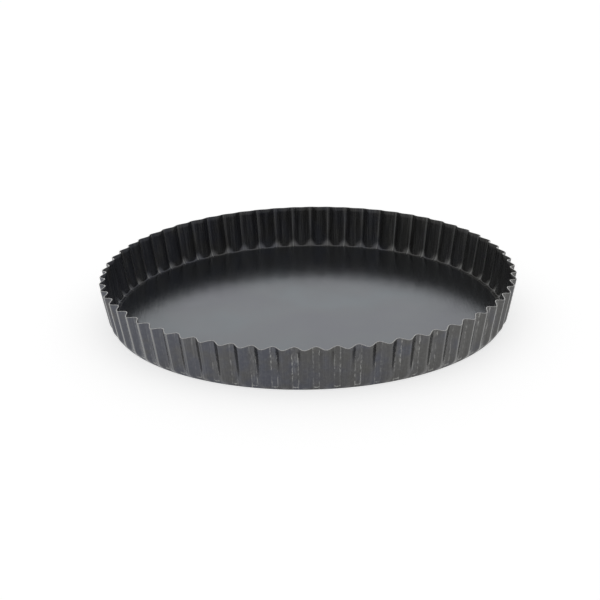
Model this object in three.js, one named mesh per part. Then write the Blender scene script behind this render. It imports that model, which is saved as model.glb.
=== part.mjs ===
// Fluted tart tin with a loose base, in millimetres, +Z up.
// The origin is the centre of the underside, on the surface that the tin stands on.
// A groove of the fluted wall faces -Y, the front.
import * as THREE from 'three';

// Driving dimensions of the fluted ring
const RIM_DIAMETER = 280; // across the outward lobes at the rim
const RING_HEIGHT = 29.7; // underside to the outer edge of the rim over a groove
const RIM_DIP = 0.8; // the rim is this much lower over a lobe
const FOOT_DIAMETER = 265.2; // outside, at the foot of the wall, where the flutes start
const FOOT_EDGE = 0.5; // bevel from the foot in to the flat underside
const FLUTE_COUNT = 66;
const FLUTE_DEPTH = 3.7; // radial, at the rim
const FLUTE_LOW_DEPTH = 2; // radial, at the foot, if the flutes didn't run out there
const FLUTE_RUNOUT = 5.5; // height over which the flutes run out to nothing at the foot
const GROOVE_FLAT = 0.2; // width of a groove's flat middle, at the rim
const GROOVE_LOW_FLAT = 4.8; // width of a groove's flat middle, at the foot
const LOBE_FLAT = 0.6; // width of a lobe's flat middle
const RING_SHEET = 0.6; // thickness of the pressed sheet
const LEDGE_WIDTH = 8.8; // flat ledge turned in under the base, from the inside of the foot

// Driving dimensions of the loose base
const BASE_SHEET = 0.6;
const BASE_CLEARANCE = 2.4; // radial, from the base's edge to the inside of the foot
const BASE_EDGE_BREAK = 0.12; // chamfer that takes the burr off the cut edge

// Facets
const WALL_COLUMNS = 8 * FLUTE_COUNT; // on the fluted wall
const CIRCLE_COLUMNS = 2 * FLUTE_COUNT; // round the foot, the ledge and the base
const RUNOUT_STEPS = 3;

// Finish
const COATING = { color: 0x55565a, roughness: 0.38, metalness: 0.6 };
const BASE_COATING = { color: 0x606164, roughness: 0.32, metalness: 0.6 };

const rimRadius = RIM_DIAMETER / 2;
const footRadius = FOOT_DIAMETER / 2;
const innerFootRadius = footRadius - RING_SHEET;
const ledgeRadius = innerFootRadius - LEDGE_WIDTH;
const baseRadius = innerFootRadius - BASE_CLEARANCE;
const flutePitch = (Math.PI * RIM_DIAMETER) / FLUTE_COUNT;

// How far out the wall is at an angle: 0 along a groove's flat, 1 along a lobe's flat.
// The climb is 0 at the foot, where the grooves are wider, and 1 at the rim.
function lobeShare(angle, climb) {
  const turns = (angle * FLUTE_COUNT) / (2 * Math.PI);
  const fromGroove = Math.abs(turns - Math.round(turns)) * flutePitch;
  const grooveFlat = THREE.MathUtils.lerp(GROOVE_LOW_FLAT, GROOVE_FLAT, climb);
  return THREE.MathUtils.smoothstep(fromGroove, grooveFlat / 2, (flutePitch - LOBE_FLAT) / 2);
}

// A point by its angle from the front, radius and height.
function pointAt(angle, radius, height) {
  return new THREE.Vector3(radius * Math.sin(angle), -radius * Math.cos(angle), height);
}

// A point of the wall's outer face. A groove leans straight out from the foot to the rim. A lobe
// stands out from it, less and less on the way down, and runs out into the round foot.
function outerPoint(angle, height) {
  const aboveFoot = height - FOOT_EDGE;
  const climb = aboveFoot / (RING_HEIGHT - RIM_DIP - FOOT_EDGE);
  const groove = THREE.MathUtils.lerp(footRadius, rimRadius - FLUTE_DEPTH, climb);
  const depth = THREE.MathUtils.lerp(FLUTE_LOW_DEPTH, FLUTE_DEPTH, climb);
  const toRun = Math.max(1 - aboveFoot / FLUTE_RUNOUT, 0);
  const standOut = lobeShare(angle, climb) * depth * (1 - toRun ** 3);
  return pointAt(angle, groove + standOut, height);
}

// The inner face lies one sheet thickness in from the outer face, along its normal.
function innerPoint(angle, height) {
  const turn = 1e-3 / FLUTE_COUNT;
  const lift = 1e-3;
  const around = outerPoint(angle + turn, height).sub(outerPoint(angle - turn, height));
  const upward = outerPoint(angle, height + lift).sub(outerPoint(angle, height - lift));
  const normal = around.cross(upward).normalize();
  return outerPoint(angle, height).addScaledVector(normal, -RING_SHEET);
}

// Height of a row of the wall at an angle: the lower rows are level and the last is the rim.
function rowHeight(angle, row) {
  if (row > RUNOUT_STEPS) {
    return RING_HEIGHT - RIM_DIP * lobeShare(angle, 1);
  }
  return FOOT_EDGE + (FLUTE_RUNOUT * row) / RUNOUT_STEPS;
}

// A closed row of points round the tin.
function rowOf(columns, makePoint) {
  const points = [];
  for (let column = 0; column < columns; column += 1) {
    points.push(makePoint((column * 2 * Math.PI) / columns));
  }
  return points;
}

function circle(radius, height) {
  return rowOf(CIRCLE_COLUMNS, (angle) => pointAt(angle, radius, height));
}

// Triangles between two closed rows, where the fine row has a whole number of points
// for each point of the coarse one.
function stitch(coarse, fine, flip, triangles) {
  const ratio = fine.length / coarse.length;
  const add = (a, b, c) => triangles.push(flip ? [a, c, b] : [a, b, c]);
  coarse.forEach((corner, place) => {
    const next = coarse[(place + 1) % coarse.length];
    const first = place * ratio;
    for (let step = 0; step < ratio - 1; step += 1) {
      add(corner, fine[first + step + 1], fine[first + step]);
    }
    const last = fine[first + ratio - 1];
    add(corner, next, last);
    add(next, fine[(first + ratio) % fine.length], last);
  });
}

// The ring's section is a closed loop: out along the ledge's underside, up the outer face,
// over the rim, down the inner face and back in along the ledge's top.
function ringGeometry() {
  const rows = [
    circle(ledgeRadius, 0),
    circle(footRadius - FOOT_EDGE, 0),
    circle(footRadius, FOOT_EDGE),
  ];
  for (let row = 1; row <= RUNOUT_STEPS + 1; row += 1) {
    rows.push(rowOf(WALL_COLUMNS, (angle) => outerPoint(angle, rowHeight(angle, row))));
  }
  for (let row = RUNOUT_STEPS + 1; row >= 1; row -= 1) {
    rows.push(rowOf(WALL_COLUMNS, (angle) => innerPoint(angle, rowHeight(angle, row))));
  }
  rows.push(circle(innerFootRadius, RING_SHEET), circle(ledgeRadius, RING_SHEET));

  const triangles = [];
  rows.forEach((row, place) => {
    const next = rows[(place + 1) % rows.length];
    if (row.length <= next.length) {
      stitch(row, next, false, triangles);
    } else {
      stitch(next, row, true, triangles);
    }
  });
  const points = rows.flat();
  const indexOf = new Map(points.map((point, index) => [point, index]));
  const geometry = new THREE.BufferGeometry().setFromPoints(points);
  geometry.setIndex(triangles.flat().map((point) => indexOf.get(point)));
  geometry.computeVertexNormals();
  return geometry;
}

// The base is a flat disc of sheet, revolved so that its underside is at height 0.
function baseGeometry() {
  const profile = [
    [0, 0],
    [baseRadius - BASE_EDGE_BREAK, 0],
    [baseRadius, BASE_EDGE_BREAK],
    [baseRadius, BASE_SHEET - BASE_EDGE_BREAK],
    [baseRadius - BASE_EDGE_BREAK, BASE_SHEET],
    [0, BASE_SHEET],
  ];
  const points = profile.map(([across, up]) => new THREE.Vector2(across, up));
  return new THREE.LatheGeometry(points, CIRCLE_COLUMNS).rotateX(Math.PI / 2);
}

function fluted_ring() {
  const ring = new THREE.Mesh(ringGeometry(), new THREE.MeshStandardMaterial(COATING));
  ring.name = 'fluted_ring';
  return ring;
}

// The base lies on the ring's ledge.
function loose_base() {
  const base = new THREE.Mesh(baseGeometry(), new THREE.MeshStandardMaterial(BASE_COATING));
  base.name = 'loose_base';
  base.position.z = RING_SHEET;
  return base;
}

const tin = new THREE.Group();
tin.add(fluted_ring(), loose_base());

export default tin;
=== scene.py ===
import math

import bpy
import numpy as np
from mathutils import Matrix, Vector


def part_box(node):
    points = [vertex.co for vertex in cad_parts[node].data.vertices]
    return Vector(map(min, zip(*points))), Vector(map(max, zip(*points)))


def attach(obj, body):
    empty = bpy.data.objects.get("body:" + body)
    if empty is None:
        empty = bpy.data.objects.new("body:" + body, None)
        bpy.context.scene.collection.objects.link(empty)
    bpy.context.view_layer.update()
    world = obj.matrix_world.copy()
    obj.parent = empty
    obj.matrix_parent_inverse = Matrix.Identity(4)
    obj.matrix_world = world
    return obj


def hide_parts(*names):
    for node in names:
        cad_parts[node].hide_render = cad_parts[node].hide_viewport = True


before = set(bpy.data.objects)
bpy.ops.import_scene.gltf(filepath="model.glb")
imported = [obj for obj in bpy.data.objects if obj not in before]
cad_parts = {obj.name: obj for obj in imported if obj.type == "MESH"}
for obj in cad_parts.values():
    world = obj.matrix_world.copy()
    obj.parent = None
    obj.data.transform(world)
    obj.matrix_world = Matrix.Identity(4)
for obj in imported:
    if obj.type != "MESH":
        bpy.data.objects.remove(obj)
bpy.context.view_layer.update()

MM = 0.001
UPWARD = np.array([0, 0, 1.0])

# Sizes that the frame gives
ring_low, ring_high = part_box("fluted_ring")
base_low, base_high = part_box("loose_base")
rim_radius = ring_high.x
base_radius = base_high.x
base_top = base_high.z
sheet = base_low.z - ring_low.z

# Sizes of the pressed ring, as its solid has them
FLUTE_COUNT = 66
FLUTE_DEPTH = 3.7 * MM  # radial, at the rim
FLUTE_RUNOUT = 5.5 * MM  # height over which the flutes run out at the foot
GROOVE_FLAT = 0.2 * MM  # width of a groove's flat middle, at the rim
RING_HEIGHT = 29.7 * MM  # over a groove
FOOT_RADIUS = 132.6 * MM
FOOT_EDGE = 0.5 * MM
LEDGE_WIDTH = 8.8 * MM
flute_pitch = 2 * math.pi * rim_radius / FLUTE_COUNT

# Finer form, within half a millimetre of the solids
FLUTE_LOW_DEPTH = 1.7 * MM  # radial, at the foot, if the flutes didn't run out there
GROOVE_LOW_FLAT = 2.2 * MM  # width of a groove's flat middle, at the foot
LOBE_FLAT = 0.3 * MM  # width of a lobe's flat top
FLANK_SKEW = 1.1 * MM  # how much wider a lobe's right flank is than its left one
RIM_DIP = 1.0 * MM  # the rim is this much lower over a lobe
INNER_CORNER = 0.6 * MM  # the inner wall starts to turn in to the ledge this far above it
BASE_EDGE_ROUND = 0.15 * MM
EDGE_FULLNESS = 0.5  # how far a cut edge bulges, as a share of half the sheet

# Fineness of the meshes
FLUTE_COLUMNS = 22
LEDGE_ROWS = 3
CORNER_ROWS = 6
WALL_ROWS = 20
WALL_ROW_CROWDING = 2.0  # above 1, the rows lie closer together towards the foot
EDGE_ROWS = 5
BASE_COLUMNS = 264
BASE_RINGS = 24  # evenly spaced, as far as the zone along the edge
BASE_EDGE_ZONE = 2.0 * MM
BASE_EDGE_RINGS = (1.0 * MM, 0.7 * MM, 0.4 * MM)  # in from the edge

# The camera, at the photograph's angle: the image is square, and the tin's origin is right of
# and below its middle
IMAGE_SIDE = 600
FOCAL_PIXELS = 1786.2
SENSOR_WIDTH = 36
CAMERA_DISTANCE = 1.2130
CAMERA_ELEVATION = math.radians(21.335)
CAMERA_AZIMUTH = math.radians(-1.744)
CAMERA_ROLL = -0.0197
ORIGIN_RIGHT_PIXELS = 8.43
ORIGIN_DOWN_PIXELS = 10.86

# The table, and the sky by the direction's share along Y or Z
TABLE_HALF_WIDTH = 5.0
TABLE_GAP = 0.05 * MM  # below the tin
TABLE_GREY = (0.68, 0.68, 0.68, 1)
TABLE_GLOW = 0.645
WHITE = (1, 1, 1, 1)
BACKDROP_EDGE = (0.65, 0.85)
SKY_RISE = (0.25, 0.6)
SKY_LEVELS = (0.28, 0.56)

# Tints of the coating, which shift from patch to patch
BLUE_GREY = (0.080, 0.084, 0.102, 1)
PLAIN_GREY = (0.087, 0.087, 0.092, 1)
OLIVE_GREY = (0.088, 0.087, 0.085, 1)
BASE_TEAL = (0.128, 0.145, 0.160, 1)
BASE_GREY = (0.127, 0.136, 0.149, 1)
BASE_VIOLET = (0.123, 0.129, 0.147, 1)
# Painted shade, darker towards the base's edge
BASE_PAINTED_SHADE_GREY = (0.100, 0.108, 0.118, 1)
# Worn grey, also used for painted highlights and a painted sheen
WORN_AND_HIGHLIGHT_GREY = (0.36, 0.36, 0.35, 1)
BARE_STEEL = (0.52, 0.515, 0.505, 1)

# Shine and relief of the coating
RING_METALLIC = 0.82
BASE_METALLIC = 1.0
WORN_AND_HIGHLIGHT_ROUGHNESS = 0.1  # added where the ring is worn, and where highlights are painted
RELIEF_STRENGTH = 0.6
RING_RELIEF = 0.03 * MM
BASE_RELIEF = 0.18 * MM

# Noise on the upright wall: squeeze along its height, scale per metre, detail and roughness
STREAKS = (0.03, 1500, 3.0, 0.55)
SPECKS = (0.3, 1100, 4.0, 0.7)
BREAKS = (0.5, 210, 2.0, 0.55)
PATCHES = (0.5, 70, 1.0, 0.55)

# Noise that is alike in all directions, or along the grain: scale per metre and detail
RING_SHADES = (70, 2.0)
RING_MOTTLES = (600, 3.0)
BASE_SHADES = (14, 2.0)
BASE_CLOUDS = (35, 4.0)
BASE_GRAIN = (1500, 2.0)
GRAIN_STRETCH = (1, 0.02, 1)

# Ramps on noise: its low and high value, and what these give if not 0 and 1
FIRST_TINT = (0.52, 0.34)
LAST_TINT = (0.48, 0.68)
STREAKING = (0.4, 0.75)
MOTTLING = (0.42, 0.68, 0.0, 0.06)
LINE_SPECKS = (0.42, 0.64)
LINE_BREAKS = (0.38, 0.56, 0.35, 1.0)
LINE_PATCHES = (0.38, 0.54, 0.45, 1.0)
MIDDLE_PATCHES = (0.45, 0.65)
GROOVE_END_SPECKS = (0.35, 0.6, 0.1, 0.9)
CREST_STREAKS = (0.3, 0.7, 0.6, 1.0)
LOBE_LINE_STREAKS = (0.25, 0.65, 0.2, 0.5)
RING_ROUGHNESS = (0.3, 0.7, 0.19, 0.26)
BASE_ROUGHNESS = (0.3, 0.7, 0.165, 0.195)

# How much worn grey the streaks mix in, and how fast a painted colour cast of the light drifts the
# ring's tints to the right
STREAK_OUTSIDE = 0.08
STREAK_INSIDE = 0.34
STREAK_INSIDE_LEAST = 0.03
PAINTED_CAST_DRIFT = 1.3  # per metre

# Places of the worn marks and painted highlights on a flute, in millimetres from the middle of a
# groove
RUBBED_LINE = (1.3, 1.7, 2.05, 2.5)  # start, full, full, end
GROOVE_MIDDLE = (2.2, 1.7)
GROOVE_MIDDLE_WEAR = 0.28
GROOVE_END_WIDTH = (2.3, 1.7)
# The lobe tops carry painted highlights, outside at the tin's sides and as a line down each lobe
# inside
LOBE_CREST = (6.2, 7.3)
LOBE_LINE = (6.2, 6.6)
CREST_WIDENING = 0.8  # at the sides of the tin

# Places of the worn marks and the painted sheen and highlights, by height and to the side
GROOVE_END = (1.1, 1.5, 1.8, 2.4)  # millimetres up at the middle of a groove: start, full, full, end
GROOVE_END_UPTURN = 0.13  # rise to the sides, per square millimetre
PAINTED_SHEEN_SIDES = (0.01, 0.09, 0.0, 0.05)  # metres left or right of the middle, and the painted sheen there, in worn grey
# Where the painted highlights on the lobe tops come in, in metres left or right of the middle
CREST_HIGHLIGHT_SIDES = (0.04, 0.12)
LESS_RUBBED_LEFT = (-0.08, 0.0, 0.5, 1.0)  # metres right of the middle, and how strong the worn lines are there

# Places on the base, in millimetres from its edge: painted shade that darkens it towards the edge,
# and a painted highlight line along the edge
BASE_PAINTED_SHADE_ZONE = (55, 0)
BASE_PAINTED_HIGHLIGHT_EDGE = (0.9, 0.5)


def make_node(tree, kind, settings=None, inputs=None):
    """A shader node with its settings, and its inputs as values or as sockets to link from."""
    made = tree.nodes.new(kind)
    for name, value in (settings or {}).items():
        setattr(made, name, value)
    for name, value in (inputs or {}).items():
        if isinstance(value, bpy.types.NodeSocket):
            tree.links.new(value, made.inputs[name])
        else:
            made.inputs[name].default_value = value
    return made


def math_of(tree, operation, first, second=0.0):
    made = make_node(tree, "ShaderNodeMath", {"operation": operation}, {0: first, 1: second})
    return made.outputs[0]


def total(tree, first, second):
    return math_of(tree, "ADD", first, second)


def larger(tree, first, second):
    return math_of(tree, "MAXIMUM", first, second)


def product(tree, *factors):
    result = factors[0]
    for factor in factors[1:]:
        result = math_of(tree, "MULTIPLY", result, factor)
    return result


def ramp_between(tree, value, low, high, to_low=0.0, to_high=1.0):
    """Smooth change from to_low to to_high as value goes from low to high."""
    made = make_node(
        tree,
        "ShaderNodeMapRange",
        {"interpolation_type": "SMOOTHSTEP"},
        {"Value": value, "From Min": low, "From Max": high, "To Min": to_low, "To Max": to_high},
    )
    return made.outputs[0]


def band(tree, value, start, full, fade, end):
    """1 while value is between full and fade, and 0 before start and after end."""
    return product(tree, ramp_between(tree, value, start, full), ramp_between(tree, value, end, fade))


def mixed(tree, share, first, second):
    """A colour between two, where each may be a colour or a socket."""
    made = make_node(tree, "ShaderNodeMix", {"data_type": "RGBA"}, {0: share, 6: first, 7: second})
    return made.outputs[2]


def vector_math(tree, operation, first, second=(0, 0, 0)):
    made = make_node(tree, "ShaderNodeVectorMath", {"operation": operation}, {0: first, 1: second})
    return made.outputs[0]


def noise_of(tree, place, scale, detail, roughness=0.55):
    made = make_node(
        tree,
        "ShaderNodeTexNoise",
        {},
        {"Vector": place, "Scale": scale, "Detail": detail, "Roughness": roughness},
    )
    return made.outputs["Fac"]


def stretched(tree, place, scale):
    made = make_node(tree, "ShaderNodeMapping", {}, {"Vector": place, "Scale": scale})
    return made.outputs[0]


def wall_noise(tree, place, squeeze, scale, detail, roughness):
    """Noise on the leaning wall as if it stood upright, squeezed along its height."""
    outward = vector_math(tree, "NORMALIZE", vector_math(tree, "MULTIPLY", place, (1, 1, 0)))
    around = stretched(tree, outward, (rim_radius, rim_radius, 0))
    height = stretched(tree, place, (0, 0, squeeze))
    return noise_of(tree, vector_math(tree, "ADD", around, height), scale, detail, roughness)


def attribute(tree, name):
    return make_node(tree, "ShaderNodeAttribute", {"attribute_name": name}).outputs["Fac"]


def new_material(name):
    material = bpy.data.materials.new(name)
    material.use_nodes = True
    material.node_tree.nodes.clear()
    return material, material.node_tree


def finish_material(tree, colour, metallic, roughness, height, relief):
    """The shader of a coating, with the fine relief that a pattern of heights gives it."""
    bump = make_node(
        tree,
        "ShaderNodeBump",
        {},
        {"Strength": RELIEF_STRENGTH, "Distance": relief, "Height": height},
    )
    shader = make_node(
        tree,
        "ShaderNodeBsdfPrincipled",
        {},
        {
            "Base Color": colour,
            "Metallic": metallic,
            "Roughness": roughness,
            "Normal": bump.outputs[0],
        },
    )
    output = make_node(tree, "ShaderNodeOutputMaterial")
    tree.links.new(shader.outputs[0], output.inputs["Surface"])


def coating_tint(tree, shades, tints):
    """Patches of the first and last tints on the middle one."""
    tint = mixed(tree, ramp_between(tree, shades, *LAST_TINT), tints[1], tints[2])
    return mixed(tree, ramp_between(tree, shades, *FIRST_TINT), tint, tints[0])


def ring_tint(tree, place, across, streaks, outside):
    """Painted colour cast, bluish to the left and olive to the right, with streaks, mottling and a
    painted sheen on the sides.
    """
    # The drift by place across adds a painted colour cast of the light to the patches of tint
    shades = total(tree, noise_of(tree, place, *RING_SHADES), product(tree, across, PAINTED_CAST_DRIFT))
    tint = coating_tint(tree, shades, (BLUE_GREY, PLAIN_GREY, OLIVE_GREY))
    inside = math_of(tree, "SUBTRACT", 1.0, outside)
    weakest = product(tree, inside, STREAK_INSIDE_LEAST)
    strongest = total(tree, product(tree, inside, STREAK_INSIDE - STREAK_OUTSIDE), STREAK_OUTSIDE)
    streaked = ramp_between(tree, streaks, *STREAKING, weakest, strongest)
    # Painted sheen: worn grey lightens the tin's sides, as brighter reflections there would
    off_middle = math_of(tree, "ABSOLUTE", across)
    side_sheen_and_mottling = ramp_between(tree, off_middle, *PAINTED_SHEEN_SIDES)
    mottled = ramp_between(tree, noise_of(tree, place, *RING_MOTTLES), *MOTTLING)
    side_sheen_and_mottling = product(tree, total(tree, side_sheen_and_mottling, mottled), outside)
    return mixed(tree, total(tree, streaked, side_sheen_and_mottling), tint, WORN_AND_HIGHLIGHT_GREY)


def groove_wear(tree, place, across, from_groove, specks):
    """Broken worn lines along both edges of a groove, and a fainter worn strip between them."""
    breaks = wall_noise(tree, place, *BREAKS)
    patches = wall_noise(tree, place, *PATCHES)
    lines = product(
        tree,
        band(tree, from_groove, *RUBBED_LINE),
        ramp_between(tree, patches, *LINE_PATCHES),
        ramp_between(tree, across, *LESS_RUBBED_LEFT),
    )
    between = product(
        tree,
        ramp_between(tree, from_groove, *GROOVE_MIDDLE),
        GROOVE_MIDDLE_WEAR,
        ramp_between(tree, patches, *MIDDLE_PATCHES),
    )
    return product(
        tree,
        larger(tree, lines, between),
        ramp_between(tree, specks, *LINE_SPECKS),
        ramp_between(tree, breaks, *LINE_BREAKS),
    )


def groove_end_wear(tree, from_groove, specks):
    """A worn U at the end of a groove, just above the foot."""
    upturn = product(tree, math_of(tree, "POWER", from_groove, 2.0), GROOVE_END_UPTURN)
    curved = math_of(tree, "SUBTRACT", attribute(tree, "height"), upturn)
    return product(
        tree,
        band(tree, curved, *GROOVE_END),
        ramp_between(tree, from_groove, *GROOVE_END_WIDTH),
        ramp_between(tree, specks, *GROOVE_END_SPECKS),
    )


def lobe_highlights(tree, across, from_groove, streaks):
    """Painted highlights on the lobe tops outside at the tin's sides, and a painted highlight line
    down each lobe inside.
    """
    to_side = ramp_between(tree, math_of(tree, "ABSOLUTE", across), *CREST_HIGHLIGHT_SIDES)
    widened = total(tree, from_groove, product(tree, to_side, CREST_WIDENING))
    crest = product(
        tree,
        ramp_between(tree, widened, *LOBE_CREST),
        to_side,
        ramp_between(tree, streaks, *CREST_STREAKS),
    )
    line = product(
        tree,
        ramp_between(tree, widened, *LOBE_LINE),
        ramp_between(tree, streaks, *LOBE_LINE_STREAKS),
    )
    return crest, line


def ring_material():
    """Dark coating with upright drawing streaks, worn light on the grooves, painted highlights on the
    lobes, and a bare rim.
    """
    material, tree = new_material("ring_coating")
    place = make_node(tree, "ShaderNodeTexCoord").outputs["Object"]
    across = make_node(tree, "ShaderNodeSeparateXYZ", {}, {0: place}).outputs["X"]
    from_groove = attribute(tree, "from_groove")
    outside = attribute(tree, "outside")
    inside = math_of(tree, "SUBTRACT", 1.0, outside)
    streaks = wall_noise(tree, place, *STREAKS)
    specks = wall_noise(tree, place, *SPECKS)

    # Painted highlights on the lobe tops outside and down each lobe inside
    crest, lobe_line = lobe_highlights(tree, across, from_groove, streaks)
    worn_and_highlit = larger(tree, groove_wear(tree, place, across, from_groove, specks), crest)
    worn_and_highlit = larger(tree, worn_and_highlit, groove_end_wear(tree, from_groove, specks))
    # Worn marks and painted highlights, mixed in as worn grey
    wear_and_highlights = larger(tree, product(tree, worn_and_highlit, outside), product(tree, lobe_line, inside))
    colour = mixed(tree, wear_and_highlights, ring_tint(tree, place, across, streaks, outside), WORN_AND_HIGHLIGHT_GREY)
    colour = mixed(tree, attribute(tree, "cut_edge"), colour, BARE_STEEL)

    roughness = ramp_between(tree, streaks, *RING_ROUGHNESS)
    roughness = total(tree, roughness, product(tree, wear_and_highlights, WORN_AND_HIGHLIGHT_ROUGHNESS))
    finish_material(tree, colour, RING_METALLIC, roughness, streaks, RING_RELIEF)
    return material


def base_material():
    """The same coating on the base, smoother, with painted shade towards the edge, a painted
    highlight line along it, and a rolled sheet's grain.
    """
    material, tree = new_material("base_coating")
    place = make_node(tree, "ShaderNodeTexCoord").outputs["Object"]
    from_edge = attribute(tree, "from_edge")
    shades = noise_of(tree, place, *BASE_SHADES)
    tint = coating_tint(tree, shades, (BASE_TEAL, BASE_GREY, BASE_VIOLET))
    # Painted shade, darker towards the edge
    tint = mixed(tree, ramp_between(tree, from_edge, *BASE_PAINTED_SHADE_ZONE), tint, BASE_PAINTED_SHADE_GREY)
    # Painted highlight line along the edge
    tint = mixed(tree, ramp_between(tree, from_edge, *BASE_PAINTED_HIGHLIGHT_EDGE), tint, WORN_AND_HIGHLIGHT_GREY)
    roughness = ramp_between(tree, noise_of(tree, place, *BASE_CLOUDS), *BASE_ROUGHNESS)
    grain = noise_of(tree, stretched(tree, place, GRAIN_STRETCH), *BASE_GRAIN)
    finish_material(tree, tint, BASE_METALLIC, roughness, grain, BASE_RELIEF)
    return material


def table_material():
    """Pale table, topped up to white for the camera and in reflections, which keeps the shadow."""
    material, tree = new_material("table")
    diffuse = make_node(tree, "ShaderNodeBsdfDiffuse", {}, {"Color": TABLE_GREY})
    ray = make_node(tree, "ShaderNodeLightPath")
    seen = total(tree, ray.outputs["Is Camera Ray"], ray.outputs["Is Glossy Ray"])
    seen = total(tree, seen, ray.outputs["Is Transmission Ray"])
    strength = product(tree, math_of(tree, "MINIMUM", seen, 1.0), TABLE_GLOW)
    glow = make_node(tree, "ShaderNodeEmission", {}, {"Strength": strength})
    both = make_node(tree, "ShaderNodeAddShader", {}, {0: diffuse.outputs[0], 1: glow.outputs[0]})
    output = make_node(tree, "ShaderNodeOutputMaterial")
    tree.links.new(both.outputs[0], output.inputs["Surface"])
    return material


def lobe_share(past_groove, climb):
    """How far out the wall is, by the place to the right of a groove's middle.

    It is 0 along the groove's flat, which is wider low down, and 1 at a lobe's top.
    From there the wall falls a little more gently to the next groove.
    """
    groove_flat = GROOVE_LOW_FLAT + (GROOVE_FLAT - GROOVE_LOW_FLAT) * climb
    left_flank = (flute_pitch - groove_flat - LOBE_FLAT - FLANK_SKEW) / 2
    right_flank = left_flank + FLANK_SKEW
    climbing = (past_groove - groove_flat / 2) / left_flank
    falling = (flute_pitch - past_groove - groove_flat / 2) / right_flank
    rise = np.clip(np.minimum(climbing, falling), 0, 1)
    return rise * rise * (3 - 2 * rise)


def wall_radius(past_groove, height):
    """Radius of the wall's outer face. The flutes grow from nothing at the foot."""
    above_foot = height - FOOT_EDGE
    climb = above_foot / (RING_HEIGHT - RIM_DIP - FOOT_EDGE)
    groove = FOOT_RADIUS + (rim_radius - FLUTE_DEPTH - FOOT_RADIUS) * climb
    depth = FLUTE_LOW_DEPTH + (FLUTE_DEPTH - FLUTE_LOW_DEPTH) * climb
    to_run = np.clip(1 - above_foot / FLUTE_RUNOUT, 0, 1)
    return groove + lobe_share(past_groove, climb) * depth * (1 - to_run**3)


def points_at(around, radius, height):
    """A row of points, by the radius and height of each."""
    return around * radius[:, None] + UPWARD * height[:, None]


def level_rows(around, radii, height):
    """Level circles of points."""
    return [around * radius + UPWARD * height for radius in radii]


def wall_rows(around, past_groove):
    """Rows of points up the wall's outer face, from the foot to the rim."""
    rim_up = RING_HEIGHT - RIM_DIP * lobe_share(past_groove, 1)
    rows = []
    for step in np.linspace(0, 1, WALL_ROWS) ** WALL_ROW_CROWDING:
        height = FOOT_EDGE + (rim_up - FOOT_EDGE) * step
        rows.append(points_at(around, wall_radius(past_groove, height), height))
    return np.array(rows)


def foot_rows(around):
    """Rows of points round the lower edge, from the underside to just below the wall."""
    rows = []
    for turn in np.linspace(0, math.pi / 2, CORNER_ROWS)[:-1]:
        radius = FOOT_RADIUS - FOOT_EDGE * (1 - math.sin(turn))
        rows += level_rows(around, [radius], FOOT_EDGE * (1 - math.cos(turn)))
    return rows


def inner_corner(wall):
    """Rows that carry the lower end of the inner wall round into the ledge's top."""
    radius = np.hypot(wall[0, :, 0], wall[0, :, 1])
    outward = wall[0] * [1, 1, 0] / radius[:, None]
    drop = wall[1] - wall[0]
    reach = (wall[0, :, 2] - sheet) / drop[:, 2]
    corner = wall[0] - drop * reach[:, None]
    length = np.linalg.norm(wall[0] - corner, axis=-1, keepdims=True)
    ledge = corner - outward * length
    rows = []
    for step in np.linspace(0, 1, CORNER_ROWS)[:-1]:
        rows.append(ledge * (1 - step) ** 2 + corner * 2 * step * (1 - step) + wall[0] * step**2)
    return rows


def unit(vectors):
    return vectors / np.linalg.norm(vectors, axis=-1, keepdims=True)


def round_edge(start, end, ahead):
    """Rows that carry one face over a cut edge to the other, in half an ellipse."""
    middle = (start + end) / 2
    half = (start - end) / 2
    reach = np.linalg.norm(half, axis=-1, keepdims=True) * EDGE_FULLNESS
    turns = np.linspace(0, math.pi, EDGE_ROWS + 2)[1:-1]
    return [middle + half * math.cos(turn) + ahead * reach * math.sin(turn) for turn in turns]


def strip_faces(rows, next_rows):
    """Faces between rows of point numbers and the rows that follow them."""
    corners = [rows, np.roll(rows, -1, axis=1), np.roll(next_rows, -1, axis=1), next_rows]
    return np.stack(corners, axis=-1).reshape(-1, 4).tolist()


def directions_round(columns):
    """Angles from the front, in even steps, and the directions outward at them."""
    angle = np.arange(columns) * 2 * math.pi / columns
    return angle, np.stack([np.sin(angle), -np.cos(angle), np.zeros(columns)], axis=-1)


def make_piece(name, points, faces, masks):
    mesh = bpy.data.meshes.new(name)
    mesh.from_pydata(points.reshape(-1, 3).tolist(), [], faces)
    for mask, values in masks.items():
        mesh.attributes.new(mask, "FLOAT", "POINT").data.foreach_set("value", values.ravel())
    mesh.shade_smooth()
    piece = bpy.data.objects.new(name, mesh)
    bpy.context.scene.collection.objects.link(piece)
    return piece


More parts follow.
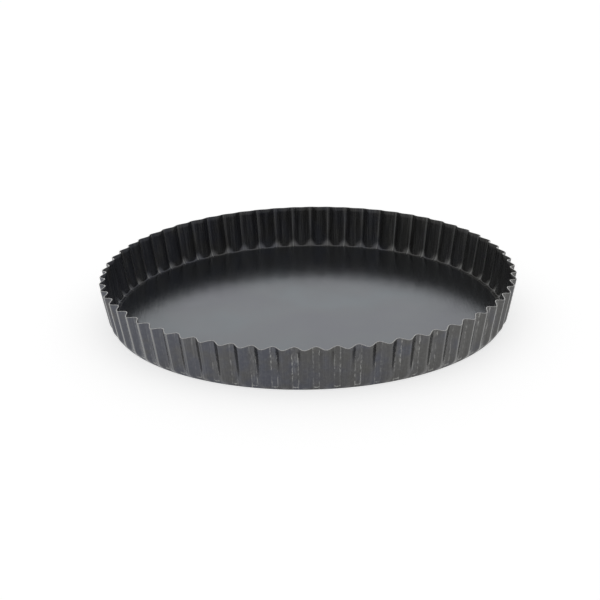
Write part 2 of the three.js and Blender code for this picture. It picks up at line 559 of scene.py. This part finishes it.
def make_ring():
    """The pressed ring as one closed loop of rows.

    They go out along the underside, up the outer face, over the rim, down the inner face,
    in along the ledge's top and round its edge.
    """
    columns = FLUTE_COLUMNS * FLUTE_COUNT
    angle, around = directions_round(columns)
    turns = angle * FLUTE_COUNT / (2 * math.pi)
    past_groove = (turns - np.floor(turns)) * flute_pitch
    wall = wall_rows(around, past_groove)
    along_row = np.roll(wall, -1, axis=1) - np.roll(wall, 1, axis=1)
    up_face = np.gradient(wall, axis=0)
    inner_wall = wall - sheet * unit(np.cross(along_row, up_face))
    high_enough = np.argmax(inner_wall[:, :, 2].min(axis=1) > sheet + INNER_CORNER)
    inner_wall = inner_wall[high_enough:]

    ledge_radius = FOOT_RADIUS - sheet - LEDGE_WIDTH
    under_radii = np.linspace(ledge_radius, FOOT_RADIUS - FOOT_EDGE, LEDGE_ROWS)[:-1]
    outer = [*level_rows(around, under_radii, 0), *foot_rows(around), *wall]
    top_radii = np.linspace(ledge_radius, base_radius, LEDGE_ROWS)
    inner = [*level_rows(around, top_radii, sheet), *inner_corner(inner_wall), *inner_wall]
    rim = round_edge(outer[-1], inner[-1], unit(up_face[-1]))
    ledge_edge = round_edge(inner[0], outer[0], -around)
    rows = np.array([*outer, *rim, *inner[::-1], *ledge_edge])

    rim_start = len(outer)
    outside = np.zeros((len(rows), columns))
    outside[:rim_start] = 1
    cut_edge = np.zeros((len(rows), columns))
    cut_edge[rim_start : rim_start + EDGE_ROWS] = 1
    from_groove = np.minimum(past_groove, flute_pitch - past_groove)
    masks = {
        "from_groove": np.broadcast_to(from_groove / MM, outside.shape),
        "height": rows[:, :, 2] / MM,
        "outside": outside,
        "cut_edge": cut_edge,
    }
    numbers = np.arange(len(rows) * columns).reshape(len(rows), columns)
    faces = strip_faces(numbers, np.roll(numbers, -1, axis=0))
    ring = make_piece("pressed_ring", rows, faces, masks)
    ring.data.materials.append(ring_material())
    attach(ring, "ring")
    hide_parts("fluted_ring")


def make_base():
    """The flat disc with its cut edge rounded: rings of points and one in the middle of each face."""
    columns = BASE_COLUMNS
    _, around = directions_round(columns)
    even_radii = np.linspace(0, base_radius - BASE_EDGE_ZONE, BASE_RINGS + 1)[1:]
    edge_radii = [base_radius - inset for inset in (*BASE_EDGE_RINGS, BASE_EDGE_ROUND)]
    radii = [*even_radii, *edge_radii]
    bottom = level_rows(around, radii, base_low.z)
    top = level_rows(around, radii, base_top)
    edge = round_edge(bottom[-1], top[-1], around)
    rows = np.array([*bottom, *edge, *top[::-1]])
    middles = np.array([UPWARD * base_low.z, UPWARD * base_top])
    points = np.vstack([rows.reshape(-1, 3), middles])

    numbers = np.arange(len(rows) * columns).reshape(len(rows), columns)
    faces = strip_faces(numbers[:-1], numbers[1:])
    middle_below = numbers.size
    middle_above = middle_below + 1
    for column in range(columns):
        following = (column + 1) % columns
        faces.append((middle_below, numbers[0, following], numbers[0, column]))
        faces.append((middle_above, numbers[-1, column], numbers[-1, following]))
    from_edge = (base_radius - np.hypot(points[:, 0], points[:, 1])) / MM
    base = make_piece("base_disc", points, faces, {"from_edge": from_edge})
    base.data.materials.append(base_material())
    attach(base, "base")
    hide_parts("loose_base")


def make_camera():
    """The camera stands off along one direction, and looks past the origin by the pixels given."""
    toward = Vector(
        (
            math.cos(CAMERA_ELEVATION) * math.sin(CAMERA_AZIMUTH),
            -math.cos(CAMERA_ELEVATION) * math.cos(CAMERA_AZIMUTH),
            math.sin(CAMERA_ELEVATION),
        )
    )
    level = Vector((0, 0, 1)).cross(toward).normalized()
    rise = toward.cross(level)
    right = math.cos(CAMERA_ROLL) * level + math.sin(CAMERA_ROLL) * rise
    above = -math.sin(CAMERA_ROLL) * level + math.cos(CAMERA_ROLL) * rise
    ahead = -FOCAL_PIXELS * toward - ORIGIN_RIGHT_PIXELS * right + ORIGIN_DOWN_PIXELS * above
    back = -ahead.normalized()
    right = above.cross(back).normalized()
    above = back.cross(right)
    data = bpy.data.cameras.new("camera")
    data.sensor_width = SENSOR_WIDTH
    data.lens = FOCAL_PIXELS * SENSOR_WIDTH / IMAGE_SIDE
    camera = bpy.data.objects.new("camera", data)
    turned = Matrix((right, above, back)).transposed().to_4x4()
    camera.matrix_world = Matrix.Translation(toward * CAMERA_DISTANCE) @ turned
    bpy.context.scene.collection.objects.link(camera)
    bpy.context.scene.camera = camera


def make_table():
    half = TABLE_HALF_WIDTH
    mesh = bpy.data.meshes.new("table")
    corners = [(-half, -half, 0), (half, -half, 0), (half, half, 0), (-half, half, 0)]
    mesh.from_pydata(corners, [], [(0, 1, 2, 3)])
    mesh.materials.append(table_material())
    floor = bpy.data.objects.new("table", mesh)
    floor.location.z = -TABLE_GAP
    bpy.context.scene.collection.objects.link(floor)


def make_world():
    """White low down behind the tin, grey overhead and darker low down elsewhere.

    The camera itself sees white all round.
    """
    world = bpy.data.worlds.new("studio")
    bpy.context.scene.world = world
    world.use_nodes = True
    tree = world.node_tree
    tree.nodes.clear()
    place = make_node(tree, "ShaderNodeTexCoord").outputs["Generated"]
    axes = make_node(tree, "ShaderNodeSeparateXYZ", {}, {0: place}).outputs
    behind = ramp_between(tree, axes["Y"], *BACKDROP_EDGE)
    overhead = ramp_between(tree, axes["Z"], *SKY_RISE, *SKY_LEVELS)
    ray = make_node(tree, "ShaderNodeLightPath")
    strength = larger(tree, larger(tree, behind, overhead), ray.outputs["Is Camera Ray"])
    sky = make_node(tree, "ShaderNodeBackground", {}, {"Color": WHITE, "Strength": strength})
    output = make_node(tree, "ShaderNodeOutputWorld")
    tree.links.new(sky.outputs[0], output.inputs["Surface"])


make_camera()
make_ring()
make_base()
make_table()
make_world()
bpy.context.scene.view_settings.view_transform = "Standard"
